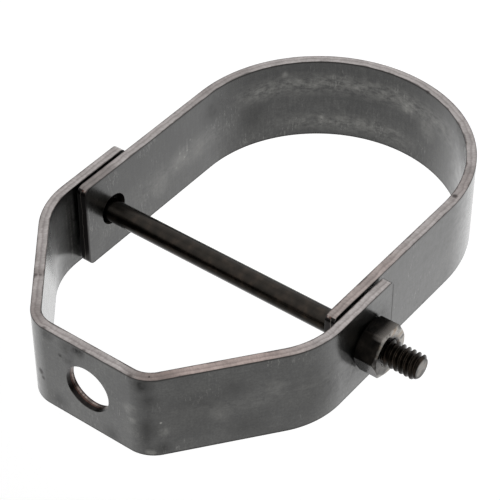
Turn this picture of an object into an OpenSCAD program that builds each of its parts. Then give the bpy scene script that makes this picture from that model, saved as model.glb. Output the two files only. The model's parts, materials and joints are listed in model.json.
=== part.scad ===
// Clevis hanger for a pipe: a bent strap yoke hangs from a threaded rod and
// carries a U-shaped strap loop on a cross bolt, held by a hex nut.
// Origin: centre of the rod hole, on the outer face of the yoke's top plate.
// X runs along the cross bolt (head at +X, nut at -X), Y along the pipe, Z up.
// All sizes are in millimetres.

/* [Strap] */
// Width of both straps, along the pipe
strap_w = 22.2; // [18:0.2:30]
// Thickness of the upper yoke's strap
yoke_t = 2.4; // [1.6:0.1:3.2]
// Thickness of the lower loop's strap
loop_t = 2.4; // [1.6:0.1:3.2]
// Rounding of the sheared strap corners at the ears
corner_r = 1.6; // [0.5:0.1:4]

/* [Lower loop] */
// Inside radius of the loop, where the pipe sits
loop_r = 33; // [28:0.5:40]
// Gap left between a pipe that fills the loop and the bolt
pipe_gap = 0.55; // [0.3:0.05:20]
// Height of the loop's ears above the bolt axis
loop_ear = 8.7; // [7.8:0.1:9.4]

/* [Upper yoke] */
// Height of the top plate's outer face above the bolt axis
yoke_rise = 47.2; // [44:0.2:70]
// Length of the yoke's ears below the bolt axis
yoke_ear = 9; // [7:0.2:16]
// Height above the bolt axis where the ear's and shoulder's outer faces would meet
shoulder_z = 17.4; // [17.2:0.2:19]
// Half width of the top plate, to where its outer face would meet the shoulder's
top_half = 15.2; // [14.4:0.2:18]
// Outer bend radius between ear and shoulder
ear_bend_r = 21.5; // [14:0.5:21.5]
// Outer bend radius between shoulder and top plate
top_bend_r = 8; // [5:0.5:9]
// Gap between the loop's ear and the yoke's ear on each side
side_gap = 0.7; // [0.5:0.1:1.2]
// Diameter of the hole for the hanger rod
rod_hole_d = 11.6; // [9:0.1:13]

/* [Bolt and nut] */
// Diameter of the bolt's plain shank
shank_d = 5.3; // [4.6:0.1:5.8]
// Outside diameter of the thread
thread_d = 6.1; // [5.9:0.1:6.4]
// Length of the thread
thread_len = 18; // [15:0.5:22]
// Length of bolt that stands out past the nut
stick_out = 8; // [3:0.5:20]
// Width across the flats of the bolt head and the nut
hex_af = 11.1; // [10:0.1:12]
// Height of the bolt head
head_h = 4.1; // [3:0.1:6]
// Height of the round face under the bolt head
face_h = 0.4; // [0.2:0.1:0.6]
// Height of the nut
nut_h = 5.6; // [4:0.1:7]
// Angle by which the nut is turned on the bolt, against the head
nut_turn = 6; // [0:1:59]
// Radial clearance of the thread in the nut
nut_clear = 0.08; // [0.05:0.01:0.12]
// Diameter of the bolt holes in the ears
bolt_hole_d = 7.8; // [7.2:0.1:9]
// Gap left where a hole's edge rests on the bolt
rest_gap = 0.3; // [0.2:0.05:0.4]
// Gap left under the bolt head and under the nut
seat_gap = 0.1; // [0.05:0.05:0.2]

/* [Hidden] */
$fn = 144;
steel = [0.45, 0.45, 0.44];
steel_dark = [0.36, 0.36, 0.36];
black_oxide = [0.09, 0.085, 0.08];

// The bolt axis lies below the origin, the arc's centre below the bolt axis.
bolt_z = -yoke_rise;
arc_drop = loop_r + thread_d / 2 + pipe_gap;

// The yoke spans the loop's ears with a gap on each side.
loop_out = loop_r + loop_t;
yoke_in = loop_out + side_gap;
yoke_out = yoke_in + yoke_t;

// The shoulder leans in from the ear to the top plate by this angle.
lean = atan2(yoke_out - top_half, yoke_rise - shoulder_z);
lean_way = [cos(lean), sin(lean)];

// The centres of the two bends on one side.
ear_c = [yoke_out - ear_bend_r, shoulder_z - ear_bend_r * tan(lean / 2)];
top_c = [top_half - top_bend_r * tan((90 - lean) / 2), yoke_rise - top_bend_r];

// The loop hangs on the bolt by the top of its holes, and the bolt lies on
// the bottom of the yoke's holes.
hole_shift = (bolt_hole_d - thread_d) / 2 - rest_gap;

// The bolt's faces along X.
head_seat = yoke_out + seat_gap;
nut_seat = -yoke_out - seat_gap;
bolt_end = nut_seat - nut_h - stick_out;
thread_start = bolt_end + thread_len;
nut_hole_d = thread_d + 2 * nut_clear;
end_chamfer = 0.12 * thread_d;

// The hexagon's corners are turned down to a cone that starts at this radius on
// a flat end, and the round face under the head is a little smaller.
hex_corner = hex_af / 2 / cos(30);
hex_face_r = 0.48 * hex_af;
under_face_r = 0.47 * hex_af;
// Depth and widening of the countersink at each end of the nut's hole.
mouth = 0.07 * thread_d;
// How far a cutter reaches past what it cuts.
cut = 1;
// A cone ends this far outside the hexagon's corners, so it never meets them.
clear = 0.05;
// Each round stands this much proud of the flats beside it, so they cross cleanly.
weld = 0.0003;

// The space inside one side of the yoke, drawn in the plane of the bends:
// its flats meet at the tangent points and the circles fill the bends.
module yoke_fill(inset, low_z) {
    polygon([
        [-cut, low_z], [yoke_out - inset, low_z], [yoke_out - inset, ear_c[1]], ear_c,
        ear_c + (ear_bend_r - inset) * lean_way, top_c + (top_bend_r - inset) * lean_way, top_c,
        [top_c[0], yoke_rise - inset], [-cut, yoke_rise - inset]
    ]);
    translate(ear_c) circle(r = ear_bend_r - inset + weld);
    translate(top_c) circle(r = top_bend_r - inset + weld);
}

// The yoke's bent strap, with its ears cut to length.
module yoke_profile() {
    difference() {
        for (side = [0, 1]) mirror([side, 0]) yoke_fill(0, -yoke_ear);
        for (side = [0, 1]) mirror([side, 0]) yoke_fill(yoke_t, -yoke_ear - cut);
        translate([-yoke_out - cut, -yoke_ear - 2 * yoke_out]) square([2 * yoke_out + 2 * cut, 2 * yoke_out]);
    }
}

// The loop's bent strap: a half ring with a straight leg up to each ear.
module loop_profile() {
    difference() {
        loop_fill(loop_out, loop_ear);
        loop_fill(loop_r, loop_ear + cut);
    }
}

// The space inside the loop up to a height, for the strap's outer or inner face.
module loop_fill(r, top_z) {
    translate([0, -arc_drop]) circle(r = r);
    translate([-r, -arc_drop]) square([2 * r, arc_drop + top_z]);
}

// What is cut away to round an ear's two corners: way is 1 where the ear ends
// upwards and -1 where it ends downwards.
module corner_cuts(end_z, way) {
    half = strap_w / 2;
    for (side = [-1, 1]) translate([0, side * (half - corner_r), end_z - way * corner_r])
        rotate([90, 0, 90]) linear_extrude(height = 2 * yoke_out + 2 * cut, center = true) difference() {
            scale([side, way]) square(corner_r + cut);
            circle(r = corner_r + weld);
        }
}

// A bolt hole through both ears, at a height from the bolt axis.
module ear_holes(shift_z) {
    translate([0, 0, shift_z]) rotate([0, 90, 0])
        cylinder(h = 2 * yoke_out + 2 * cut, r = bolt_hole_d / 2, center = true);
}

module upper_yoke() {
    color(steel) translate([0, 0, bolt_z]) difference() {
        rotate([90, 0, 0]) linear_extrude(height = strap_w, center = true) yoke_profile();
        corner_cuts(-yoke_ear, -1);
        ear_holes(hole_shift);
        translate([0, 0, yoke_rise - yoke_t - cut]) cylinder(h = yoke_t + 2 * cut, r = rod_hole_d / 2);
    }
}

module lower_loop() {
    color(steel_dark) translate([0, 0, bolt_z]) difference() {
        rotate([90, 0, 0]) linear_extrude(height = strap_w, center = true) loop_profile();
        corner_cuts(loop_ear, 1);
        ear_holes(-hole_shift);
    }
}

// A hexagonal blank along Z, with its corners turned down to a cone at the
// top, and at the bottom too if both_ends is true.
module hex_blank(h, both_ends) {
    over = hex_corner + clear;
    drop = (over - hex_face_r) * tan(30);
    low = both_ends ? [[hex_face_r, 0], [over, drop]] : [[over, 0]];
    intersection() {
        cylinder(h = h, r = hex_corner, $fn = 6);
        rotate_extrude() polygon(concat([[0, 0]], low, [[over, h - drop], [hex_face_r, h], [0, h]]));
    }
}

module cross_bolt() {
    shank_r = shank_d / 2;
    thread_r = thread_d / 2;
    runout = thread_start - bolt_end;
    under = head_seat - bolt_end;
    color(black_oxide) translate([bolt_end, 0, bolt_z]) rotate([0, 90, 0]) {
        rotate_extrude() polygon([
            [0, 0], [thread_r - end_chamfer, 0], [thread_r, end_chamfer],
            [thread_r, runout - (thread_r - shank_r)], [shank_r, runout],
            [shank_r, under], [under_face_r, under], [under_face_r, under + face_h + cut / 2],
            [0, under + face_h + cut / 2]
        ]);
        translate([0, 0, under + face_h]) hex_blank(head_h - face_h, false);
    }
}

module hex_nut() {
    hole_r = nut_hole_d / 2;
    color(black_oxide) translate([nut_seat - nut_h, 0, bolt_z]) rotate([0, 90, 0])
        rotate([0, 0, nut_turn]) difference() {
            hex_blank(nut_h, true);
            rotate_extrude() polygon([
                [0, -cut], [hole_r + mouth + cut, -cut], [hole_r, mouth],
                [hole_r, nut_h - mouth], [hole_r + mouth + cut, nut_h + cut], [0, nut_h + cut]
            ]);
        }
}

upper_yoke();
lower_loop();
cross_bolt();
hex_nut();
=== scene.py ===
# %% [markdown]
# A clevis hanger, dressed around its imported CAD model.
# The hanger holds a pipe under a ceiling: a bent strap yoke hangs from a threaded rod and a
# U-shaped strap loop swings below it on a cross bolt with a hex nut. Both straps are plain steel
# strip, the bolt and nut are black oxide. The frame gives the place and size of each piece, and
# every piece here is modelled again with the edges, thread and surface that the real one shows.

# %% Load the frame
import json
from math import atan2, cos, pi, radians, sin, tan

import bmesh
import bpy
from mathutils import Matrix, Vector


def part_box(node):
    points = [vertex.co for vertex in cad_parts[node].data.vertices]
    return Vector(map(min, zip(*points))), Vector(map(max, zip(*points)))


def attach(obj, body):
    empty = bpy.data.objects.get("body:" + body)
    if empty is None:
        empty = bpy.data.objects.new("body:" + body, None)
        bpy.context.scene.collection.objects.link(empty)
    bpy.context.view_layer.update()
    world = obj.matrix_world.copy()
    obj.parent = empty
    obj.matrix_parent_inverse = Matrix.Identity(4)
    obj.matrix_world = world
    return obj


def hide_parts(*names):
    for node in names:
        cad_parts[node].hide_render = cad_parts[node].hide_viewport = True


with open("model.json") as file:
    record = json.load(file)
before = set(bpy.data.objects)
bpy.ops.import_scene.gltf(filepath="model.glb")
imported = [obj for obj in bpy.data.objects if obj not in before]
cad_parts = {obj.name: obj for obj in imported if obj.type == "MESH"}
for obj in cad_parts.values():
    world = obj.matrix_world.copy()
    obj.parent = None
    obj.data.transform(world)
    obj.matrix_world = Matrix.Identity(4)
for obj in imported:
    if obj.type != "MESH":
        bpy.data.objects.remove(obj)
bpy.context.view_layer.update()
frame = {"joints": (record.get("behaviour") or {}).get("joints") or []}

MM = 0.001

# %% [markdown]
# The camera looks down on the hanger as it lies on its side in a light tent, so the picture's up
# is the frame's -Y. The place, target and lens were solved from the hanger's own outline, for a
# sensor 36 mm wide.

# %% Camera
CAMERA_AT = Vector((-199.6, -294.1, 207.1)) * MM
CAMERA_TARGET = Vector((-2.7, -3.0, -52.6)) * MM
PICTURE_UP = Vector((0, -1, 0))
LENS_MM = 141.25

camera_data = bpy.data.cameras.new("camera")
camera = bpy.data.objects.new("camera", camera_data)
bpy.context.scene.collection.objects.link(camera)
camera_data.lens = LENS_MM
camera_data.sensor_width = 36
back = (CAMERA_AT - CAMERA_TARGET).normalized()
right = PICTURE_UP.cross(back).normalized()
camera.matrix_world = Matrix.Translation(CAMERA_AT) @ Matrix((right, back.cross(right), back)).transposed().to_4x4()
bpy.context.scene.camera = camera

# %% [markdown]
# The sizes come from the frame where it has them: the boxes of the nodes and the place of the
# bolt's joint. The rest are the strip's own sizes, such as its thickness and bend radii.

# %% Sizes
yoke_low, yoke_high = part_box("upper_yoke")
loop_low, loop_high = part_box("lower_loop")
bolt_low, bolt_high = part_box("cross_bolt")
nut_low, nut_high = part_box("hex_nut")
BOLT_Z = next(j for j in frame["joints"] if j["name"] == "loop_swing")["pos_m"][2]

STRIP_T = 2.4 * MM
WELD = 0.0003 * MM
HALF_W = yoke_high.y
EAR_BEND_R = 21.5 * MM
TOP_BEND_R = 8 * MM
SHOULDER_Z = 17.4 * MM + BOLT_Z
TOP_HALF = 15.2 * MM
ROD_HOLE_R = 5.8 * MM
BOLT_HOLE_R = 3.9 * MM
HOLE_SHIFT = 0.55 * MM
CORNER_R = 1.6 * MM
EDGE_ROUND = 0.22 * MM
YOKE_OUT = round(yoke_high.x / MM, 1) * MM
YOKE_TOP = round(yoke_high.z / MM, 1) * MM
LOOP_OUT = loop_high.x
LOOP_R = LOOP_OUT - STRIP_T
ARC_Z = loop_low.z + LOOP_OUT
SHANK_R = 2.65 * MM
THREAD_R = 3.05 * MM
PITCH = 1.27 * MM
HEX_AF = 11.1 * MM
HEX_ROUND = 0.25 * MM

# %% [markdown]
# A few helpers stand in for the hands. Each leaves edit mode as it found it, and a selection is
# always made in code, by the place or the normal of a face or edge.

# %% Helpers
def only(*objects):
    """Selects these objects and nothing else, and makes the first one active."""
    if bpy.context.object and bpy.context.object.mode != "OBJECT":
        bpy.ops.object.mode_set(mode="OBJECT")
    bpy.ops.object.select_all(action="DESELECT")
    for obj in objects:
        obj.select_set(True)
    bpy.context.view_layer.objects.active = objects[0]


def pick(obj, kind, test):
    """In edit mode, selects the verts, edges or faces that pass the test, and nothing else."""
    mesh = bmesh.from_edit_mesh(obj.data)
    mesh.select_mode = {{"verts": "VERT", "edges": "EDGE", "faces": "FACE"}[kind]}
    for part in list(mesh.faces) + list(mesh.edges) + list(mesh.verts):
        part.select_set(False)
    for part in getattr(mesh, kind):
        if test(part):
            part.select_set(True)
    mesh.select_flush_mode()
    bmesh.update_edit_mesh(obj.data)


def middle(part):
    """The middle of a face or edge."""
    if hasattr(part, "calc_center_median"):
        return part.calc_center_median()
    return (part.verts[0].co + part.verts[1].co) / 2


def apply_modifier(obj, kind, **settings):
    """Adds a modifier with its settings and applies it."""
    only(obj)
    modifier = obj.modifiers.new(kind.lower(), kind)
    for name, value in settings.items():
        setattr(modifier, name, value)
    bpy.ops.object.modifier_apply(modifier=modifier.name)


def cut(obj, tool, operation="DIFFERENCE"):
    """Boolean of obj with a tool, which is then thrown away."""
    apply_modifier(obj, "BOOLEAN", object=tool, operation=operation, solver="EXACT")
    bpy.data.objects.remove(tool)


def place(obj, matrix=None):
    """Puts a piece in its place, in its mesh, so that its object stays at the origin, unturned."""
    if matrix is not None:
        obj.matrix_world = matrix @ obj.matrix_world
    only(obj)
    bpy.ops.object.transform_apply(location=True, rotation=True, scale=True)


def clean(obj):
    """Merges doubled points and turns all faces outwards."""
    only(obj)
    bpy.ops.object.mode_set(mode="EDIT")
    bpy.ops.mesh.select_all(action="SELECT")
    bpy.ops.mesh.remove_doubles(threshold=0.0005 * MM)
    bpy.ops.mesh.normals_make_consistent(inside=False)
    bpy.ops.object.mode_set(mode="OBJECT")


def shade(obj, angle):
    """Shades smooth up to an angle, with flat faces kept flat beside their small rounds."""
    only(obj)
    bpy.ops.object.shade_smooth_by_angle(angle=radians(angle))
    apply_modifier(obj, "WEIGHTED_NORMAL", mode="FACE_AREA", weight=100, keep_sharp=True)


def soften(obj, width, segments=2, limit=35):
    """Rounds the sharp edges and shades the rest smooth."""
    apply_modifier(obj, "BEVEL", width=width, segments=segments, limit_method="ANGLE", angle_limit=radians(limit))
    shade(obj, 30)


def drill(obj, radius, at, axis, depth, sides=96):
    """Cuts a round hole through obj."""
    bpy.ops.mesh.primitive_cylinder_add(vertices=sides, radius=radius, depth=depth, location=at)
    tool = bpy.context.object
    tool.rotation_euler = Vector((0, 0, 1)).rotation_difference(Vector(axis)).to_euler()
    cut(obj, tool)

# %% [markdown]
# Each strap is sheared from strip and bent in a press. It is modelled the same way: the strip's
# end is a small rectangle, pushed straight along with extrude and round the bends with spin. The
# path is kept, because the surface's rolling lines and scuffs follow it round the bends.

# %% Sweep a strap along its path
STEP = 1.6 * MM
BEND_STEP = radians(2.5)


class Strap:
    """A strip's end and the path it has been swept along, in the plane of the bends."""

    def __init__(self, name, outer, heading, inward):
        self.at = Vector(outer)
        self.heading = Vector(heading)
        self.inward = Vector(inward)
        self.length = 0.0
        self.path = []
        centre = self.at + self.inward * STRIP_T / 2
        bpy.ops.object.select_all(action="DESELECT")
        bpy.ops.mesh.primitive_plane_add(size=1, location=centre)
        self.obj = bpy.context.object
        self.obj.name = name
        self.obj.scale = (STRIP_T, 2 * HALF_W, 1)
        place(self.obj)
        bpy.ops.object.mode_set(mode="EDIT")
        bpy.ops.mesh.select_all(action="SELECT")

    def straight(self, distance):
        """Pushes the end straight on, in even steps."""
        steps = max(1, round(distance / STEP))
        for _ in range(steps):
            move = self.heading * distance / steps
            bpy.ops.mesh.extrude_region_move(TRANSFORM_OT_translate={"value": move})
        self.path.append(("line", self.at.copy(), self.heading.copy(), self.inward.copy(), distance, self.length))
        self.at += self.heading * distance
        self.length += distance

    def bend(self, angle, radius):
        """Swings the end round a bend whose outer face has this radius."""
        centre = self.at + self.inward * radius
        axis = self.inward.cross(self.heading).normalized()
        steps = max(2, round(angle / BEND_STEP))
        bpy.ops.mesh.spin(steps=steps, angle=angle, center=centre, axis=axis)
        turn = Matrix.Rotation(-angle, 4, axis)
        self.path.append(("arc", centre, -self.inward, -axis, angle, self.length, radius))
        self.at = centre + turn @ (self.at - centre)
        self.heading = turn @ self.heading
        self.inward = turn @ self.inward
        self.length += angle * radius

    def end(self):
        bpy.ops.object.mode_set(mode="OBJECT")
        clean(self.obj)
        print(self.obj.name, "swept", round(self.length / MM, 1), "mm, end at",
              [round(v / MM, 2) for v in self.at])
        return self.obj


def round_ear_corners(obj, end_z):
    """Rounds the sheared corners at the ends of the two ears."""
    only(obj)
    bpy.ops.object.mode_set(mode="EDIT")

    def at_corner(edge):
        low = middle(edge)
        along_x = abs(edge.verts[0].co.x - edge.verts[1].co.x) > STRIP_T / 2
        return along_x and abs(low.z - end_z) < 0.01 * MM and abs(abs(low.y) - HALF_W) < 0.01 * MM

    pick(obj, "edges", at_corner)
    bpy.ops.mesh.bevel(offset=CORNER_R, segments=6, affect="EDGES", clamp_overlap=False)
    bpy.ops.object.mode_set(mode="OBJECT")

# %% [markdown]
# The upper yoke. From one ear's end the strip runs up, leans in over the shoulder, crosses the
# top and comes down the same way on the other side.

# %% Upper yoke
lean = atan2(YOKE_OUT - TOP_HALF, YOKE_TOP - SHOULDER_Z)
ear_tangent = EAR_BEND_R * tan(lean / 2)
top_tangent = TOP_BEND_R * tan((pi / 2 - lean) / 2)
shoulder = (Vector((TOP_HALF, YOKE_TOP)) - Vector((YOKE_OUT, SHOULDER_Z))).length - ear_tangent - top_tangent

yoke_strap = Strap("yoke", (YOKE_OUT, 0, yoke_low.z), (0, 0, 1), (-1, 0, 0))
yoke_strap.straight(SHOULDER_Z - ear_tangent - yoke_low.z)
yoke_strap.bend(lean, EAR_BEND_R)
yoke_strap.straight(shoulder)
yoke_strap.bend(pi / 2 - lean, TOP_BEND_R)
yoke_strap.straight(2 * (TOP_HALF - top_tangent))
yoke_strap.bend(pi / 2 - lean, TOP_BEND_R)
yoke_strap.straight(shoulder)
yoke_strap.bend(lean, EAR_BEND_R)
yoke_strap.straight(SHOULDER_Z - ear_tangent - yoke_low.z)
yoke = yoke_strap.end()
round_ear_corners(yoke, yoke_low.z)
drill(yoke, ROD_HOLE_R, (0, 0, YOKE_TOP), (0, 0, 1), 4 * STRIP_T)
drill(yoke, BOLT_HOLE_R, (0, 0, BOLT_Z + HOLE_SHIFT), (1, 0, 0), 3 * YOKE_OUT)
soften(yoke, EDGE_ROUND)

# %% [markdown]
# The lower loop. Its strip runs down one leg, round half a circle under the pipe and up the
# other leg.

# %% Lower loop
loop_strap = Strap("loop", (LOOP_OUT, 0, loop_high.z), (0, 0, -1), (-1, 0, 0))
loop_strap.straight(loop_high.z - ARC_Z)
loop_strap.bend(pi, LOOP_OUT)
loop_strap.straight(loop_high.z - ARC_Z)
loop = loop_strap.end()
round_ear_corners(loop, loop_high.z)
drill(loop, BOLT_HOLE_R, (0, 0, BOLT_Z - HOLE_SHIFT), (1, 0, 0), 3 * LOOP_OUT)
soften(loop, EDGE_ROUND)

# %% [markdown]
# The bolt and nut are turned, cut to a hexagon and threaded. A turned shape starts as a disc and
# grows by extruding its end and scaling it at each station. They are made along the local Z,
# which is then laid along the frame's X at the bolt's height.

# %% Turning and placing
LAY_ALONG_X = Matrix.Translation((0, 0, BOLT_Z)) @ Matrix.Rotation(pi / 2, 4, "Y")


def turned(name, stations, sides=96):
    """Turns a solid round the local Z through stations of (place, radius)."""
    z, radius = stations[0]
    bpy.ops.object.select_all(action="DESELECT")
    bpy.ops.mesh.primitive_circle_add(vertices=sides, radius=radius, fill_type="NGON", location=(0, 0, z))
    obj = bpy.context.object
    obj.name = name
    place(obj)
    bpy.ops.object.mode_set(mode="EDIT")
    bpy.ops.mesh.select_all(action="SELECT")
    for next_z, next_radius in stations[1:]:
        bpy.ops.mesh.extrude_region_move(TRANSFORM_OT_translate={"value": (0, 0, next_z - z)})
        scale = next_radius / radius
        bpy.ops.transform.resize(value=(scale, scale, 1), center_override=(0, 0, 0))
        z, radius = next_z, next_radius
    bpy.ops.object.mode_set(mode="OBJECT")
    clean(obj)
    return obj


def hexagon(name, low, high, turn):
    """A hexagonal bar between two places on the local Z, its corners turned from the frame's Y."""
    bpy.ops.object.select_all(action="DESELECT")
    corner = HEX_AF / 2 / cos(pi / 6)
    bpy.ops.mesh.primitive_cylinder_add(vertices=6, radius=corner, depth=high - low, location=(0, 0, (low + high) / 2))
    obj = bpy.context.object
    obj.name = name
    obj.rotation_euler.z = turn
    place(obj)
    bpy.ops.object.mode_set(mode="EDIT")
    pick(obj, "edges", lambda edge: abs(edge.verts[0].co.z - edge.verts[1].co.z) > (high - low) / 2)
    bpy.ops.mesh.bevel(offset=HEX_ROUND, segments=3, affect="EDGES")
    bpy.ops.object.mode_set(mode="OBJECT")
    return obj

# %% [markdown]
# A real thread is a groove that climbs one pitch each turn. The outline of one pitch is drawn by
# extruding a single point, and the Screw modifier carries it up the helix. The tube's ragged ends
# are then cut square with bisect, which also closes them. The bolt's thread and the nut's are
# made by the same helper at the same places, so they stay in step when the nut runs along.

# %% Thread
THREAD_OUTLINE = (
    (0.00, -0.69), (0.09, -0.69), (0.15, -0.63), (0.42, -0.08), (0.46, -0.01), (0.50, 0.0),
    (0.54, -0.01), (0.58, -0.08), (0.85, -0.63), (0.91, -0.69), (1.00, -0.69),
)


def thread(name, low, high, crest):
    """A threaded rod between two places on the local Z."""
    first = (int(low / PITCH) - 2) * PITCH
    turns = int((high - first) / PITCH) + 3
    bpy.ops.object.select_all(action="DESELECT")
    bpy.ops.mesh.primitive_plane_add(size=PITCH, location=(crest - 0.69 * MM, 0, first))
    obj = bpy.context.object
    obj.name = name
    place(obj)
    bpy.ops.object.mode_set(mode="EDIT")
    bpy.ops.mesh.select_all(action="SELECT")
    bpy.ops.mesh.merge(type="CENTER")
    bpy.ops.mesh.select_mode(type="VERT")
    for (from_z, from_r), (to_z, to_r) in zip(THREAD_OUTLINE, THREAD_OUTLINE[1:]):
        move = ((to_r - from_r) * MM, 0, (to_z - from_z) * PITCH)
        bpy.ops.mesh.extrude_region_move(TRANSFORM_OT_translate={"value": move})
    bpy.ops.object.mode_set(mode="OBJECT")
    apply_modifier(obj, "SCREW", axis="Z", steps=64, render_steps=64, iterations=turns, screw_offset=PITCH,
                   use_merge_vertices=True, merge_threshold=0.001 * MM)
    clean(obj)
    bpy.ops.object.mode_set(mode="EDIT")
    for place_z, keep in ((low, -1), (high, 1)):
        bpy.ops.mesh.select_all(action="SELECT")
        bpy.ops.mesh.bisect(plane_co=(0, 0, place_z), plane_no=(0, 0, keep), use_fill=True, clear_outer=True,
                            threshold=0.0001 * MM)
    bpy.ops.object.mode_set(mode="OBJECT")
    clean(obj)
    return obj

# %% [markdown]
# The cross bolt: a plain shank under a hexagonal head, with the last part threaded. The thread
# runs out in a cone at the shank, and the cut end is chamfered.

# %% Cross bolt
HEAD_SEAT = YOKE_OUT + 0.1 * MM
FACE_H = 0.4 * MM
THREAD_LEN = 18 * MM
END_CHAMFER = 0.73 * MM
THREAD_ROOT = THREAD_R - 0.69 * MM
thread_start = bolt_low.x + THREAD_LEN
head_top = bolt_high.x
hex_round = HEX_AF / 2 / cos(pi / 6) + 0.05 * MM
hex_turned = 0.96 * HEX_AF / 2
hex_drop = (hex_round - hex_turned) * tan(pi / 6)

bolt = thread("bolt", bolt_low.x, thread_start + PITCH, THREAD_R)
blank = turned("bolt_blank", (
    (bolt_low.x, THREAD_R - END_CHAMFER), (bolt_low.x + END_CHAMFER, THREAD_R + 0.01 * MM),
    (thread_start - 0.4 * MM, THREAD_R + 0.01 * MM), (thread_start + PITCH / 2, THREAD_ROOT),
))
cut(bolt, blank, "INTERSECT")
shank = turned("shank", (
    (thread_start - 1.2 * MM, THREAD_ROOT - 0.05 * MM), (thread_start, SHANK_R),
    (HEAD_SEAT - 0.25 * MM, SHANK_R), (HEAD_SEAT + 0.1 * MM, SHANK_R + 0.3 * MM),
))
cut(bolt, shank, "UNION")
washer_face = turned("washer_face", (
    (HEAD_SEAT, 0.465 * HEX_AF), (HEAD_SEAT + 0.06 * MM, 0.47 * HEX_AF),
    (HEAD_SEAT + FACE_H + 0.2 * MM, 0.47 * HEX_AF),
))
cut(bolt, washer_face, "UNION")
head = hexagon("head", HEAD_SEAT + FACE_H, head_top, pi / 6)
head_cone = turned("head_cone", (
    (HEAD_SEAT, hex_round), (head_top - hex_drop, hex_round), (head_top, hex_turned),
))
cut(head, head_cone, "INTERSECT")
cut(bolt, head, "UNION")
place(bolt, LAY_ALONG_X)
shade(bolt, 25)
print("bolt", len(bolt.data.polygons), "faces")

# %% [markdown]
# The hex nut: the same hexagon, its corners turned down to a cone at both faces, bored with the
# same thread a little wider, and countersunk at both ends.

# %% Hex nut
NUT_CLEAR = 0.08 * MM
MOUTH = 0.43 * MM
nut_out = nut_low.x
nut_seat = nut_high.x
# The nut is turned a little against the head, as it came to rest when it was tightened.
NUT_TURN = radians(36)
nut = hexagon("nut", nut_out, nut_seat, NUT_TURN)
nut_cone = turned("nut_cone", (
    (nut_out, hex_turned), (nut_out + hex_drop, hex_round), (nut_seat - hex_drop, hex_round), (nut_seat, hex_turned),
))
cut(nut, nut_cone, "INTERSECT")
cut(nut, thread("nut_thread", nut_out - PITCH, nut_seat + PITCH, THREAD_R + NUT_CLEAR))
hole_r = THREAD_R + NUT_CLEAR
nut_hole_low = turned("nut_mouth", (
    (nut_out - MOUTH, hole_r + 2 * MOUTH), (nut_out + MOUTH, hole_r), (nut_out + 2 * MOUTH, THREAD_ROOT),
))
cut(nut, nut_hole_low)
nut_hole_high = turned("nut_mouth", (
    (nut_seat - 2 * MOUTH, THREAD_ROOT), (nut_seat - MOUTH, hole_r), (nut_seat + MOUTH, hole_r + 2 * MOUTH),
))
cut(nut, nut_hole_high)
place(nut, LAY_ALONG_X)
shade(nut, 25)
print("nut", len(nut.data.polygons), "faces")

# %% [markdown]
# The surface's patterns follow the strip round its bends, so each point of a strap gets its place
# on the strip as an attribute: how far along it lies, how far across, and how deep from the outer
# face. A flat face has one depth all over, and only a cut surface has depths in between, so the
# depth also tells the sheared edges and the holes' walls from the rolled faces.

# %% Places on the strip
def place_on_path(x, z, path):
    """The distance along the path and the depth under it of a point in the plane of the bends."""
    best = None
    for kind, *rest in path:
        if kind == "line":
            at, heading, inward, distance, before = rest
            offset = Vector((x, 0, z)) - at
            along = offset.dot(heading)
            depth = offset.dot(inward)
            over = max(0, -along, along - distance)
            along = before + along
        else:
            centre, first, axis, angle, before, radius = rest
            offset = Vector((x, 0, z)) - centre
            swing = atan2(first.cross(offset).dot(axis), first.dot(offset))
            depth = radius - offset.length
            over = max(0, -swing, swing - angle) * radius
            along = before + swing * radius
        miss = over + max(0, -depth, depth - STRIP_T)
        if best is None or miss < best[0] - 1e-9:
            best = (miss, along, depth)
    return best[1], best[2]


def mark_strip(obj, path):
    """Stores each point's place on the strip in the attribute strip_pos, in millimetres."""
    marks = obj.data.attributes.new("strip_pos", "FLOAT_VECTOR", "POINT")
    known = {}
    for index, vert in enumerate(obj.data.vertices):
        x, y, z = vert.co
        key = (round(x, 7), round(z, 7))
        if key not in known:
            known[key] = place_on_path(x, z, path)
        along, depth = known[key]
        marks.data[index].vector = (along / MM, y / MM, depth / MM)
    depths = [mark.vector[2] for mark in marks.data]
    print(obj.name, "depths", round(min(depths), 3), "to", round(max(depths), 3))


mark_strip(yoke, yoke_strap.path)
mark_strip(loop, loop_strap.path)

# %% [markdown]
# Materials are node trees. One function turns a written colour into Blender's linear numbers, and
# one small function adds a node with its settings and links.

# %% Node helpers
# The sockets of a colour Mix node have doubled names, so they are called by their place.
FACTOR, UNDER, OVER, MIXED = 0, 6, 7, 2


def linear(hex_colour):
    """A written sRGB colour as the linear colour that the shader works with."""
    channels = [int(hex_colour[i:i + 2], 16) / 255 for i in (1, 3, 5)]
    return [c / 12.92 if c <= 0.04045 else ((c + 0.055) / 1.055) ** 2.4 for c in channels] + [1]


def add(tree, kind, links=(), stops=(), **settings):
    """Adds a node: settings are its properties, links its sockets as (name, value or socket), and
    stops a colour ramp's stops as (place, colour)."""
    made = tree.nodes.new("ShaderNode" + kind)
    for name, value in settings.items():
        setattr(made, name, value)
    for name, value in links:
        if isinstance(value, bpy.types.NodeSocket):
            tree.links.new(value, made.inputs[name])
        else:
            made.inputs[name].default_value = value
    for index, (spot, colour) in enumerate(stops):
        elements = made.color_ramp.elements
        if 0 < index < len(stops) - 1:
            stop = elements.new(spot)
        else:
            stop = elements[0 if index == 0 else len(elements) - 1]
            stop.position = spot
        stop.color = linear(colour)
    return made


def new_material(name, colour, metallic, roughness):
    """A material with its shader, and the shader's sockets set."""
    material = bpy.data.materials.new(name)
    material.use_nodes = True
    shader = material.node_tree.nodes["Principled BSDF"]
    shader.inputs["Base Color"].default_value = linear(colour)
    shader.inputs["Metallic"].default_value = metallic
    shader.inputs["Roughness"].default_value = roughness
    return material, material.node_tree, shader

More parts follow.
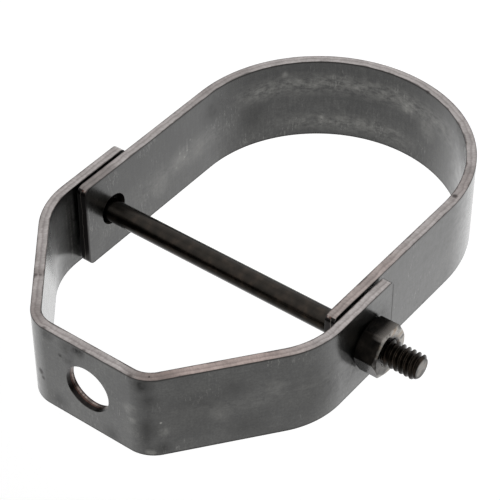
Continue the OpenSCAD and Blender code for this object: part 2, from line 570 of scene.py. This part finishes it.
# %% [markdown]
# Both straps are pickled hot-rolled strap steel: strip that was rolled hot, cleaned of its scale in
# acid and lightly oiled. It is a dark grey metal with a satin sheen under a thin gloss of oil. It is
# cloudy where the scale came off unevenly, with faint lines along and across the rolling direction.
# Such a surface is several noises of different sizes laid over each other, so each one is made once
# here and then used wherever it shows.

# %% Patterns on the strip
LAYER = {"data_type": "RGBA"}
TINT = {"data_type": "RGBA", "blend_type": "MULTIPLY"}
# Each pattern: the size of its features in mm, their stretch along, across and into the strip, the
# noise's detail and roughness, and where in the noise it starts.
PATTERNS = {
    "clouds": (9, (1.3, 1, 1), 4, 0.6, 29.2),
    "mottle": (1.9, (1, 1, 1), 5, 0.7, 43.8),
    "grain": (0.5, (1, 1, 1), 2, 0.55, 58.4),
    "strokes": (0.55, (1, 9, 1), 3, 0.55, 73.0),
    "rolling": (0.7, (22, 1, 1), 2, 0.55, 87.6),
    "scuff lines": (1.0, (0.5, 2.2, 1), 3, 0.6, 182.5),
    "scuff places": (7, (1, 1, 1), 2, 0.55, 197.1),
    "rubbing": (1.5, (1.5, 0.8, 1), 5, 0.7, 310.0),
    "shear": (3.2, (1, 1, 1), 3, 0.55, 420.0),
    "cross marks": (0.45, (1, 3, 3), 3, 0.7, 470.0),
    "edge patches": (2.6, (1.6, 1, 1), 3, 0.6, 510.0),
}


def strip_patterns(tree, seed):
    """The place on the strip in mm, as along, across and depth, and each pattern's noise."""
    spot = add(tree, "Attribute", attribute_name="strip_pos").outputs["Vector"]
    parts = add(tree, "SeparateXYZ", [("Vector", spot)])
    noises = {}
    for pattern, (size, stretch, detail, roughness, start) in PATTERNS.items():
        scale = [1 / (size * factor) for factor in stretch]
        mapping = add(tree, "Mapping", [("Vector", spot), ("Location", (seed + start, 0, 0)), ("Scale", scale)])
        noises[pattern] = add(tree, "TexNoise", [
            ("Vector", mapping.outputs[0]), ("Scale", 1.0), ("Detail", detail), ("Roughness", roughness),
        ]).outputs["Fac"]
    return parts.outputs["X"], parts.outputs["Y"], parts.outputs["Z"], noises


def band(tree, value, low, high, blur):
    """1 between two values and 0 outside them, with a blurred change."""
    rise = add(tree, "MapRange", [("Value", value), ("From Min", low - blur), ("From Max", low + blur)])
    fall = add(tree, "MapRange", [("Value", value), ("From Min", high + blur), ("From Max", high - blur)])
    return add(tree, "Math", [(0, rise.outputs[0]), (1, fall.outputs[0])], operation="MULTIPLY").outputs[0]

# %% [markdown]
# The rolled faces. A ramp turns the widest noise into three greys, and each finer noise then
# darkens it in its own low places, as dust and oil fill the hollows of real strip. The thin pale
# scuffs stand where two noises cross a narrow range together, which keeps them short and rare.

# %% Rolled face
SCUFF_AMOUNT = 0.3


def rolled_face(tree, across, noises, strokes_amount, one_sided):
    """The face's colour: strokes_amount is for the strokes across, one_sided darkens half its width."""
    face = add(tree, "ValToRGB", [("Fac", noises["clouds"])], [
        (0.3, "#383836"), (0.5, "#464644"), (0.7, "#565653"),
    ]).outputs[0]
    width = add(tree, "MapRange", [
        ("Value", across), ("From Min", -HALF_W / MM), ("From Max", HALF_W / MM),
    ]).outputs[0]
    for pattern, dark, amount in (
        (noises["mottle"], "#a6a6a4", 0.9), (noises["grain"], "#b6b6b4", 0.85),
        (noises["strokes"], "#b4b4b4", strokes_amount), (noises["rolling"], "#d2d2d2", 0.35),
        (width, "#a0a0a0", one_sided),
    ):
        tint = add(tree, "ValToRGB", [("Fac", pattern)], [(0.34, dark), (0.66, "#ffffff")]).outputs[0]
        face = add(tree, "Mix", [(FACTOR, amount), (UNDER, face), (OVER, tint)], **TINT).outputs[MIXED]
    thin = band(tree, noises["scuff lines"], 0.6, 0.66, 0.02)
    rare = band(tree, noises["scuff places"], 0.6, 1.5, 0.05)
    scuffs = add(tree, "Math", [(0, thin), (1, rare)], operation="MULTIPLY").outputs[0]
    faint = add(tree, "Math", [(0, scuffs), (1, SCUFF_AMOUNT)], operation="MULTIPLY").outputs[0]
    return add(tree, "Mix", [(FACTOR, faint), (UNDER, face), (OVER, linear("#8d8c88"))], **LAYER).outputs[MIXED]

# %% [markdown]
# Handling marks lie in fixed places, where the hanger shows them. A smudge is a soft round spot
# whose border the mottling breaks up. Most dark smudges are dirt, and those round the bolt on the
# nut-side ear of the yoke are painted shadow of the nut. A drag is a band along or across the strip:
# pale where a roller of the bending press rubbed it, dark across the bends beside the top plate. Dark
# marks, dirt and painted shadow alike, are also kept as a mask that takes the oil's gloss away later.

# %% Handling marks and painted shadow
DARK, PALE = "#0d0c0b", "#8f8e89"
LANE_BLUR = 1.8


def handled(tree, face, along, across, noises, smudges, drags):
    """Lays the smudges and drags over the face's colour, and returns it with the mask of the dark marks: grime and the
    painted shadow of the nut.
    """
    dirt = 0.0
    ragged = add(tree, "MapRange", [
        ("Value", noises["mottle"]), ("From Min", 0.35), ("From Max", 0.65), ("To Min", -0.6), ("To Max", 0.6),
    ]).outputs[0]
    flat = add(tree, "CombineXYZ", [("X", along), ("Y", across)]).outputs[0]
    marks = []
    for spot_along, spot_across, radius, amount, colour in smudges:
        far = add(tree, "VectorMath", [(0, flat), (1, (spot_along, spot_across, 0))], operation="DISTANCE")
        near = add(tree, "MapRange", [
            ("Value", far.outputs["Value"]), ("From Min", radius), ("From Max", 0.2 * radius), ("To Max", amount),
        ]).outputs[0]
        shaped = add(tree, "Math", [(0, near), (1, ragged), (2, near)], operation="MULTIPLY_ADD")
        marks.append((add(tree, "Clamp", [("Value", shaped.outputs[0])]).outputs[0], colour))
    rubbed = add(tree, "MapRange", [("Value", noises["rubbing"]), ("From Min", 0.38), ("From Max", 0.72)]).outputs[0]
    caked = add(tree, "MapRange", [("Value", noises["clouds"]), ("From Min", 0.38), ("From Max", 0.56)]).outputs[0]
    for low_along, high_along, low_across, high_across, blur, amount, colour in drags:
        stretch = band(tree, along, low_along, high_along, blur)
        lane = band(tree, across, low_across, high_across, LANE_BLUR)
        area = add(tree, "Math", [(0, stretch), (1, lane)], operation="MULTIPLY").outputs[0]
        broken = add(tree, "Math", [(0, caked if colour == DARK else rubbed), (1, amount)], operation="MULTIPLY")
        drag = add(tree, "Math", [(0, area), (1, broken.outputs[0])], operation="MULTIPLY")
        marks.append((drag.outputs[0], colour))
    for mask, colour in marks:
        face = add(tree, "Mix", [(FACTOR, mask), (UNDER, face), (OVER, linear(colour))], **LAYER).outputs[MIXED]
        # The dark marks hold dirt and the painted shadow of the nut.
        if colour == DARK:
            dirt = add(tree, "Math", [(0, dirt), (1, mask)], operation="MAXIMUM").outputs[0]
    return face, dirt

# %% [markdown]
# The strip was sheared after rolling, so its long edges show fresh metal, paler and a little pink:
# a burnished band where the blade slid, a torn band below it, and short marks across. The walls of
# the punched holes are painted dark where the punch's smooth band would reflect the dark hole, as
# painted shade, with a torn paler rest. The ears' ends were cropped in a die and are painted nearly
# black, partly as the shadow in the gap beside them. All three run with the depth from the outer face.

# %% Sheared edges, punched walls and cropped ends
def cut_faces(tree, along, depth, noises, length, on_long_edge, stains):
    """The colour of all cut faces. Each stain lies on the long edges: from and to along, blur, amount
    and colour."""
    wavy = add(tree, "Math", [(0, noises["shear"]), (1, 1.3), (2, depth)], operation="MULTIPLY_ADD").outputs[0]
    across_edge = add(tree, "MapRange", [("Value", wavy), ("From Min", 0.65), ("From Max", 3.05)]).outputs[0]
    edge = add(tree, "ValToRGB", [("Fac", across_edge)], [
        (0.0, "#5d5452"), (0.07, "#938c8a"), (0.3, "#a29c9a"), (0.47, "#827a78"), (0.6, "#96908e"),
        (0.85, "#a09a98"), (0.93, "#736a67"), (1.0, "#433a38"),
    ]).outputs[0]
    for pattern, dark, amount in ((noises["cross marks"], "#a49c99", 0.35), (noises["edge patches"], "#a09a98", 0.4)):
        tint = add(tree, "ValToRGB", [("Fac", pattern)], [(0.36, dark), (0.6, "#ffffff")]).outputs[0]
        edge = add(tree, "Mix", [(FACTOR, amount), (UNDER, edge), (OVER, tint)], **TINT).outputs[MIXED]
    for low, high, blur, amount, colour in stains:
        area = add(tree, "Math", [(0, band(tree, along, low, high, blur)), (1, amount)], operation="MULTIPLY").outputs[0]
        edge = add(tree, "Mix", [(FACTOR, area), (UNDER, edge), (OVER, linear(colour))], **TINT).outputs[MIXED]

    # The dark of the hole walls is painted shade, with a paler torn band.
    into_wall = add(tree, "MapRange", [("Value", depth), ("From Max", STRIP_T / MM)]).outputs[0]
    wall = add(tree, "ValToRGB", [("Fac", into_wall)], [
        (0.0, "#3a3634"), (0.1, "#191716"), (0.5, "#211c1a"), (0.56, "#6b4a42"), (0.62, "#2c2421"),
        (0.72, "#847872"), (0.84, "#8e827c"), (0.9, "#43292a"), (1.0, "#2e2421"),
    ]).outputs[0]
    torn = add(tree, "ValToRGB", [("Fac", noises["cross marks"])], [(0.36, "#8a8a8a"), (0.6, "#ffffff")]).outputs[0]
    wall = add(tree, "Mix", [(FACTOR, 0.8), (UNDER, wall), (OVER, torn)], **TINT).outputs[MIXED]
    cut_face = add(tree, "Mix", [(FACTOR, on_long_edge), (UNDER, wall), (OVER, edge)], **LAYER).outputs[MIXED]

    # The ears' ends are painted nearly black, partly as shadow in the gap beside them.
    first_end = band(tree, along, -1, 0.35, 0.05)
    last_end = band(tree, along, length - 0.35, length + 1, 0.05)
    at_end = add(tree, "Math", [(0, first_end), (1, last_end)], operation="MAXIMUM").outputs[0]
    end = add(tree, "ValToRGB", [("Fac", across_edge)], [
        (0.0, "#151312"), (0.38, "#171514"), (0.43, "#77716c"), (0.47, "#191615"), (1.0, "#1f1b1a"),
    ]).outputs[0]
    return add(tree, "Mix", [(FACTOR, at_end), (UNDER, cut_face), (OVER, end)], **LAYER).outputs[MIXED]

# %% [markdown]
# The whole finish puts the faces, the marks and the cut faces together. A dark line follows the
# borders of the faces: partly a burr and partly painted shade of the rounded corner. A few nicks are
# small dark balls in the strip's own space, so that one on a corner shows on both faces beside it;
# the dents themselves are not modelled, and their dark is painted shade. The oil is the shader's
# coat: it lies thick on the clean faces and edges, thin on dirt and on the painted shade and shadow,
# and hardly at all in the holes and on the cropped ends.

# %% Strap steel
# The border colour is partly a burr and partly painted shade of the rounded corner.
BURR = "#14100f"
BURR_WIDTH = 0.3
# The nick colour is painted shade: the dents are not modelled.
NICK = "#1d1614"


def strap_steel(name, seed, length, strokes_amount, one_sided, marks):
    """The finish of one strap: seed moves its patterns, length is the strip's in mm."""
    material, tree, shader = new_material(name, "#393937", 1.0, 0.32)
    shader.inputs["Coat Weight"].default_value = 1.0
    shader.inputs["Coat Roughness"].default_value = 0.21
    shader.inputs["Coat IOR"].default_value = 1.58
    along, across, depth, noises = strip_patterns(tree, seed)
    face = rolled_face(tree, across, noises, strokes_amount, one_sided)
    face, dirt = handled(tree, face, along, across, noises, marks["smudges"], marks["drags"])

    half = HALF_W / MM
    out_y = add(tree, "Math", [(0, across)], operation="ABSOLUTE").outputs[0]
    from_middle = add(tree, "Math", [(0, along), (1, length / 2)], operation="SUBTRACT").outputs[0]
    out_x = add(tree, "Math", [(0, from_middle)], operation="ABSOLUTE").outputs[0]
    long_border = band(tree, out_y, half - BURR_WIDTH, half + 1, 0.18)
    end_border = band(tree, out_x, length / 2 - BURR_WIDTH - 0.1, length / 2 + 1, 0.15)
    borders = add(tree, "Math", [(0, long_border), (1, end_border)], operation="MAXIMUM").outputs[0]
    # The dark border line, also at the ears' ends: partly burr, partly painted shade of the rounded corner.
    burr = add(tree, "Math", [(0, borders), (1, 0.75)], operation="MULTIPLY").outputs[0]
    face = add(tree, "Mix", [(FACTOR, burr), (UNDER, face), (OVER, linear(BURR))], **LAYER).outputs[MIXED]
    dirt = add(tree, "Math", [(0, dirt), (1, burr)], operation="MAXIMUM").outputs[0]

    on_long_edge = band(tree, out_y, half - BURR_WIDTH, half + 1, 0.05)
    cut_face = cut_faces(tree, along, depth, noises, length, on_long_edge, marks["stains"])
    sheared = band(tree, depth, 0.1, STRIP_T / MM - 0.1, 0.09)
    colour = add(tree, "Mix", [(FACTOR, sheared), (UNDER, face), (OVER, cut_face)], **LAYER).outputs[MIXED]

    rough_cut = add(tree, "Math", [(0, 1.0), (1, on_long_edge)], operation="SUBTRACT").outputs[0]
    dry_cut = add(tree, "Math", [(0, sheared), (1, rough_cut)], operation="MULTIPLY").outputs[0]
    off_edge = add(tree, "Math", [(0, 1.0), (1, sheared)], operation="SUBTRACT").outputs[0]
    dry_face = add(tree, "Math", [(0, dirt), (1, off_edge)], operation="MULTIPLY").outputs[0]
    dry = add(tree, "Math", [(0, dry_face), (1, dry_cut)], operation="MAXIMUM").outputs[0]
    in_strip = add(tree, "CombineXYZ", [("X", along), ("Y", across), ("Z", depth)]).outputs[0]
    # Each nick is a dark ball painted as the shade of a dent that is not modelled.
    for nick_along, nick_across, nick_depth, radius, amount in marks["nicks"]:
        nick_at = (nick_along, nick_across, nick_depth)
        far = add(tree, "VectorMath", [(0, in_strip), (1, nick_at)], operation="DISTANCE")
        near = add(tree, "MapRange", [
            ("Value", far.outputs["Value"]), ("From Min", radius), ("From Max", 0.4 * radius), ("To Max", amount),
        ]).outputs[0]
        colour = add(tree, "Mix", [(FACTOR, near), (UNDER, colour), (OVER, linear(NICK))], **LAYER).outputs[MIXED]
        dry = add(tree, "Math", [(0, dry), (1, near)], operation="MAXIMUM").outputs[0]
    tree.links.new(colour, shader.inputs["Base Color"])
    oil = add(tree, "MapRange", [("Value", dry), ("To Min", 1.0), ("To Max", 0.1)])
    tree.links.new(oil.outputs[0], shader.inputs["Coat Weight"])

    rough = add(tree, "MapRange", [
        ("Value", noises["mottle"]), ("From Min", 0.35), ("From Max", 0.65), ("To Min", 0.28), ("To Max", 0.44),
    ])
    tree.links.new(rough.outputs[0], shader.inputs["Roughness"])
    height = add(tree, "Math", [(0, noises["grain"]), (1, 0.5), (2, noises["mottle"])], operation="MULTIPLY_ADD")
    bump = add(tree, "Bump", [("Height", height.outputs[0]), ("Strength", 0.25), ("Distance", 0.05 * MM)])
    tree.links.new(bump.outputs["Normal"], shader.inputs["Normal"])
    return material

# %% [markdown]
# Where the marks lie, in millimetres on each strip. The yoke has its darkest marks in the bend beside
# the rod hole and on the top plate; on its nut-side ear, the dark smudges round the bolt are painted
# shadow of the nut. The loop is rubbed pale in two lanes round its inside, where the bending roller
# pressed.

# %% Marks on the yoke and the loop
# A smudge: along, across, radius, amount, colour. A drag: from and to along, from and to across,
# blur, amount, colour. A stain: from and to along, blur, amount, colour. A nick: along, across,
# depth, radius, amount.
YOKE_MARKS = {
    "smudges": (
        (92.8, -9.6, 3.4, 0.55, DARK), (94.2, -5.2, 3.0, 0.35, DARK), (93.8, 3.4, 3.6, 0.35, DARK),
        (96.8, 9.2, 2.6, 0.45, DARK), (89.8, -1.4, 2.2, 0.22, PALE), (90.3, 1.6, 1.4, 0.2, PALE),
        (94.2, 10.2, 1.4, 0.4, PALE), (97.2, 4.4, 1.6, 0.2, PALE), (76.4, -10.0, 2.4, 0.75, DARK),
        (73.6, -8.8, 3.0, 0.5, DARK), (71.3, -5.8, 0.8, 0.6, DARK), (73.6, -5.6, 2.2, 0.4, DARK),
        # On the next line, (147.2, 0.0) and (141.0, 5.0) are painted shadow of the nut round the bolt, not dirt.
        (68.0, -10.0, 2.2, 0.5, DARK), (147.2, 0.0, 10.5, 0.8, DARK), (141.0, 5.0, 6.0, 0.25, DARK),
        (70.0, 8.5, 3.5, 0.3, DARK), (62.5, 9.6, 0.6, 0.8, DARK), (84.5, 9.4, 3.0, 0.3, DARK),
        (96.6, 1.4, 0.35, 0.6, "#a8a7a2"), (104.0, -1.0, 11.0, 0.2, DARK), (133.0, 2.0, 11.0, 0.3, DARK),
        (115.0, 7.0, 6.0, 0.2, DARK), (112.0, -5.0, 5.0, 0.22, DARK), (121.0, -3.0, 3.0, 0.12, PALE),
        # On the next line, (144.0, -8.0) is painted shadow of the nut.
        (109.0, 2.0, 3.2, 0.12, PALE), (23.5, 9.0, 4.0, 0.2, DARK), (144.0, -8.0, 6.0, 0.25, DARK),
    ),
    "drags": (
        (92.2, 94.8, -12, 12, 0.9, 0.5, DARK), (62.6, 64.4, -12, 12, 0.9, 0.25, DARK),
        (100, 136, -2.0, 1.5, 4, 0.16, PALE), (36, 60, 1.0, 4.0, 4, 0.2, PALE),
        (18.7, 19.1, -9, 1, 0.3, 0.8, PALE), (20.0, 20.3, -6, 8, 0.3, 0.7, PALE), (21.4, 21.7, -8, 4, 0.3, 0.6, PALE),
    ),
    "stains": (
        (90.0, 101.0, 2.5, 0.8, "#b0a098"), (97.0, 126.0, 6.0, 0.8, "#ffeae2"), (47.5, 50.0, 0.8, 0.7, "#b4aaa6"),
        (57.0, 66.0, 3.0, 0.7, "#bcb2ae"),
    ),
    "nicks": (
        (64.9, 2.9, 0.0, 1.1, 0.95), (65.6, 4.4, 0.0, 0.7, 0.8), (49.6, -11.1, 0.5, 0.6, 0.6), (49.6, -11.1, 1.5, 0.5, 0.5), (67.0, -11.1, 0.2, 0.6, 0.6),
        (78.0, -11.1, 0.1, 0.7, 0.6), (94.5, -11.1, 1.2, 0.35, 0.8), (90.2, -11.1, 0.2, 0.9, 0.6),
    ),
}
LOOP_MARKS = {
    "smudges": (
        (102.8, -3.3, 2.2, 0.4, PALE), (90.0, 6.9, 2.6, 0.25, PALE), (79.0, 6.6, 1.3, 0.3, PALE),
        (69.0, -8.0, 1.2, 0.25, PALE), (110.0, 0.0, 4.0, 0.2, PALE), (60.0, 3.0, 6.0, 0.25, DARK),
        (40.0, 2.0, 5.0, 0.15, PALE), (33.5, 1.2, 4.5, 0.18, PALE), (36.4, 0.2, 0.45, 0.5, PALE),
        (35.3, 1.6, 0.4, 0.5, PALE), (33.6, -0.6, 0.4, 0.4, PALE), (32.2, 2.8, 0.5, 0.35, PALE),
        (37.6, -2.2, 0.4, 0.35, PALE), (26.0, 4.5, 4.0, 0.18, PALE), (46.0, -6.0, 5.0, 0.25, DARK),
    ),
    "drags": (
        (56, 122, -6.8, -2.2, 5, 0.5, PALE), (70, 104, 5.2, 8.8, 5, 0.45, PALE), (18, 52, -0.5, 4.5, 5, 0.2, PALE),
        (120, 150, -3.0, 2.0, 5, 0.2, PALE), (36.2, 36.6, -2.5, 1.5, 0.3, 0.8, PALE),
        (34.9, 35.2, -1.0, 2.0, 0.3, 0.7, PALE), (33.4, 33.8, -3.0, 0.5, 0.3, 0.6, PALE),
        (38.3, 38.6, -3.5, -1.5, 0.3, 0.6, PALE), (102.4, 102.8, -5.5, -1.0, 0.3, 0.7, PALE),
        (104.2, 104.6, -4.5, -0.5, 0.3, 0.5, PALE), (78.8, 79.3, 4.0, 8.5, 0.3, 0.6, PALE),
    ),
    "stains": (
        (-4.0, 11.0, 3.0, 0.8, "#a8a09c"), (42.0, 62.0, 4.0, 0.6, "#ccc6c4"), (140.0, 153.0, 4.0, 0.6, "#c4bab6"), (176.0, 204.0, 5.0, 0.6, "#eedcd4"),
    ),
    "nicks": (
        (109.2, -11.1, 2.4, 0.8, 0.8), (152.7, -11.1, 1.5, 0.9, 0.8), (166.0, 11.0, 0.0, 0.7, 0.9),
    ),
}
yoke.data.materials.append(strap_steel("pickled_strap_steel_yoke", 0, yoke_strap.length / MM, 0.35, 0.0, YOKE_MARKS))
loop.data.materials.append(strap_steel("pickled_strap_steel_loop", 50, loop_strap.length / MM, 0.8, 0.6, LOOP_MARKS))
print("steel nodes", len(yoke.data.materials[0].node_tree.nodes))

# %% [markdown]
# Black oxide on steel: the bolt and nut were blackened in a hot salt bath and oiled. The film is
# nearly black with a brown cast, and what gives it shape is the sheen of the oil. It is gone where
# the bolt was cut off. The pale metal on the nut's chamfer is partly worn through by a wrench and
# partly a painted highlight, and the film of both is painted lighter in places toward -Y as a highlight.

# %% Black oxide
def black_oxide(name, tones, wear):
    """The blackened finish: tones are the film's three colours. Pale metal shows up to bare_to along X
    and is gone at film_from, mostly outside a radius that grows from rim_low to rim_high round a centre
    that lies rim_z above the axis; on the nut it is partly metal worn through and partly a painted
    highlight. Its border is ragged by some way. The film is painted lighter from
    thin_film_and_highlight_from to thin_film_and_highlight_to along X, on the -Y side as near says and
    on the +Y side as far says: where it starts, where it is full and how much. It stands partly for film
    worn thin and, on the -Y side, for a painted highlight."""
    material, tree, shader = new_material(name, tones[1], 1.0, 0.26)
    spot = add(tree, "TexCoord").outputs["Object"]
    # The pattern is centred on the bolt's axis, so its distance from there is the radius.
    centred = add(tree, "Mapping", [("Vector", spot), ("Location", (0, 0, -BOLT_Z))]).outputs[0]
    parts = add(tree, "SeparateXYZ", [("Vector", centred)])
    ring = add(tree, "CombineXYZ", [("Y", parts.outputs["Y"]), ("Z", parts.outputs["Z"])]).outputs[0]
    rim_centre = (0, 0, wear["rim_z"])
    radius = add(tree, "VectorMath", [(0, ring), (1, rim_centre)], operation="DISTANCE").outputs["Value"]

    # Stains in the film are about 2 mm across, and handling marks about half a millimetre.
    stain = add(tree, "TexNoise", [("Vector", spot), ("Scale", 0.5 / MM), ("Detail", 4)]).outputs["Fac"]
    handling = add(tree, "TexNoise", [("Vector", spot), ("Scale", 2 / MM), ("Detail", 3)]).outputs["Fac"]
    film = add(tree, "ValToRGB", [("Fac", stain)], list(zip((0.35, 0.55, 0.7), tones))).outputs[0]

    # Where the film is lighter: partly worn thin, and toward -Y a painted highlight.
    ragged = add(tree, "MapRange", [
        ("Value", handling), ("From Min", 0.3), ("From Max", 0.7),
        ("To Min", -wear["ragged_by"]), ("To Max", wear["ragged_by"]),
    ]).outputs[0]
    shifted_x = add(tree, "Math", [(0, parts.outputs["X"]), (1, ragged)]).outputs[0]
    thin_x = add(tree, "MapRange", [
        ("Value", shifted_x), ("From Min", wear["thin_film_and_highlight_to"]), ("From Max", wear["thin_film_and_highlight_from"]),
    ]).outputs[0]
    thin_y = 0.0
    for start, full, amount in (wear["near"], wear["far"]):
        side = add(tree, "MapRange", [
            ("Value", parts.outputs["Y"]), ("From Min", start), ("From Max", full), ("To Max", amount),
        ]).outputs[0]
        thin_y = add(tree, "Math", [(0, side), (1, thin_y)], operation="MAXIMUM").outputs[0]
    thin = add(tree, "Math", [(0, thin_x), (1, thin_y)], operation="MULTIPLY").outputs[0]
    film = add(tree, "Mix", [(FACTOR, thin), (UNDER, film), (OVER, linear("#86817c"))], **LAYER).outputs[MIXED]

    # Where pale metal shows: bare at the bolt's cut end, and on the nut's chamfer partly worn bare and partly a
    # painted highlight.
    at_face = add(tree, "MapRange", [
        ("Value", shifted_x), ("From Min", wear["film_from"]), ("From Max", wear["bare_to"]),
    ]).outputs[0]
    at_rim = add(tree, "MapRange", [
        ("Value", radius), ("From Min", wear["rim_low"]), ("From Max", wear["rim_high"]), ("To Min", 0.12),
    ]).outputs[0]
    bare = add(tree, "Math", [(0, at_face), (1, at_rim)], operation="MULTIPLY").outputs[0]
    bare_tone = add(tree, "ValToRGB", [("Fac", stain)], list(zip((0.38, 0.5, 0.68), wear["bare"]))).outputs[0]
    colour = add(tree, "Mix", [(FACTOR, bare), (UNDER, film), (OVER, bare_tone)], **LAYER).outputs[MIXED]
    tree.links.new(colour, shader.inputs["Base Color"])

    bump = add(tree, "Bump", [("Height", handling), ("Strength", 0.15), ("Distance", 0.04 * MM)])
    tree.links.new(bump.outputs["Normal"], shader.inputs["Normal"])
    return material


bolt_end = bolt_low.x
# The lighter film toward -Y (near) is a painted highlight on both; on the nut, the pale chamfer metal is partly a
# painted highlight too.
BOLT_WEAR = {
    "bare_to": bolt_end + 0.02 * MM, "film_from": bolt_end + 0.06 * MM, "ragged_by": 0,
    "thin_film_and_highlight_from": thread_start + 3 * MM, "thin_film_and_highlight_to": thread_start - 3 * MM, "near": (-0.8 * MM, -2.2 * MM, 0.08),
    "far": (0, 1 * MM, 0), "rim_low": 2.1 * MM, "rim_high": 1.75 * MM, "rim_z": 0,
    "bare": ("#514e4b", "#7b7874", "#736a61"),
}
NUT_WEAR = {
    "bare_to": nut_out + 0.05 * MM, "film_from": nut_out + 0.6 * MM, "ragged_by": 0.12 * MM,
    "thin_film_and_highlight_from": nut_out, "thin_film_and_highlight_to": nut_out + 3 * MM, "near": (-4.9 * MM, -5.2 * MM, 0.6),
    "far": (0.5 * MM, 1.5 * MM, 0.2), "rim_low": 4.2 * MM, "rim_high": 5.4 * MM, "rim_z": 1.3 * MM,
    "bare": ("#5a5754", "#a19e99", "#94877a"),
}
bolt.data.materials.append(black_oxide("black_oxide_bolt", ("#14120f", "#201c18", "#2f2822"), BOLT_WEAR))
nut.data.materials.append(black_oxide("black_oxide_nut", ("#0f0e0d", "#181614", "#221f1c"), NUT_WEAR))
print("oxide nodes", len(nut.data.materials[0].node_tree.nodes))

# %% Ride
PIECES = (
    (yoke, "upper_yoke", "yoke", "plain_steel_strap"),
    (loop, "lower_loop", "loop", "plain_steel_strap"),
    (bolt, "cross_bolt", "bolt", "black_oxide_steel"),
    (nut, "hex_nut", "nut", "black_oxide_steel"),
)
for piece, node, body, slot in PIECES:
    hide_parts(node)
    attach(piece, body)

# %% [markdown]
# The stage is a light tent: a white world that the camera and reflections see at full strength,
# with a weaker glow on dull surfaces so that one soft lamp can shape them. The floor lies well
# below the hanging part and takes its soft shadow.

# %% Stage
FLOOR_Z = -0.24
world = bpy.data.worlds.new("light_tent")
bpy.context.scene.world = world
world.use_nodes = True
tent = world.node_tree
glow = tent.nodes["Background"]
glow.inputs["Color"].default_value = (1, 1, 1, 1)
rays = add(tent, "LightPath")
seen = add(tent, "Math", [(0, rays.outputs["Is Camera Ray"]), (1, rays.outputs["Is Glossy Ray"])], operation="MAXIMUM")
seen = add(tent, "Math", [(0, seen.outputs[0]), (1, rays.outputs["Is Transmission Ray"])], operation="MAXIMUM")
level = add(tent, "MapRange", [("Value", seen.outputs[0]), ("To Min", 0.65), ("To Max", 1.0)])
tent.links.new(level.outputs[0], glow.inputs["Strength"])

lamp_data = bpy.data.lights.new("softbox", "AREA")
lamp_data.shape = "DISK"
lamp_data.size = 0.9
lamp_data.energy = 6
lamp = bpy.data.objects.new("softbox", lamp_data)
bpy.context.scene.collection.objects.link(lamp)
lamp.location = (-0.25, -0.75, 0.6)
lamp.rotation_euler = (CAMERA_TARGET - lamp.location).to_track_quat("-Z", "Y").to_euler()

bpy.ops.object.select_all(action="DESELECT")
bpy.ops.mesh.primitive_plane_add(size=12, location=(0, 0, FLOOR_Z))
floor = bpy.context.object
floor.name = "floor"
place(floor)
floor_material, floor_tree, floor_shader = new_material("white_floor_paper", "#fafafa", 0.0, 0.9)
floor_shader.inputs["Emission Color"].default_value = (1, 1, 1, 1)
paper_rays = add(floor_tree, "LightPath")
paper_seen = add(floor_tree, "Math", [(0, paper_rays.outputs["Is Camera Ray"]), (1, paper_rays.outputs["Is Glossy Ray"])],
                 operation="MAXIMUM")
paper_seen = add(floor_tree, "Math", [(0, paper_seen.outputs[0]), (1, paper_rays.outputs["Is Transmission Ray"])],
                 operation="MAXIMUM")
lift = add(floor_tree, "Math", [(0, paper_seen.outputs[0]), (1, 0.25)], operation="MULTIPLY")
floor_tree.links.new(lift.outputs[0], floor_shader.inputs["Emission Strength"])
floor.data.materials.append(floor_material)
bpy.context.scene.view_settings.view_transform = "Standard"
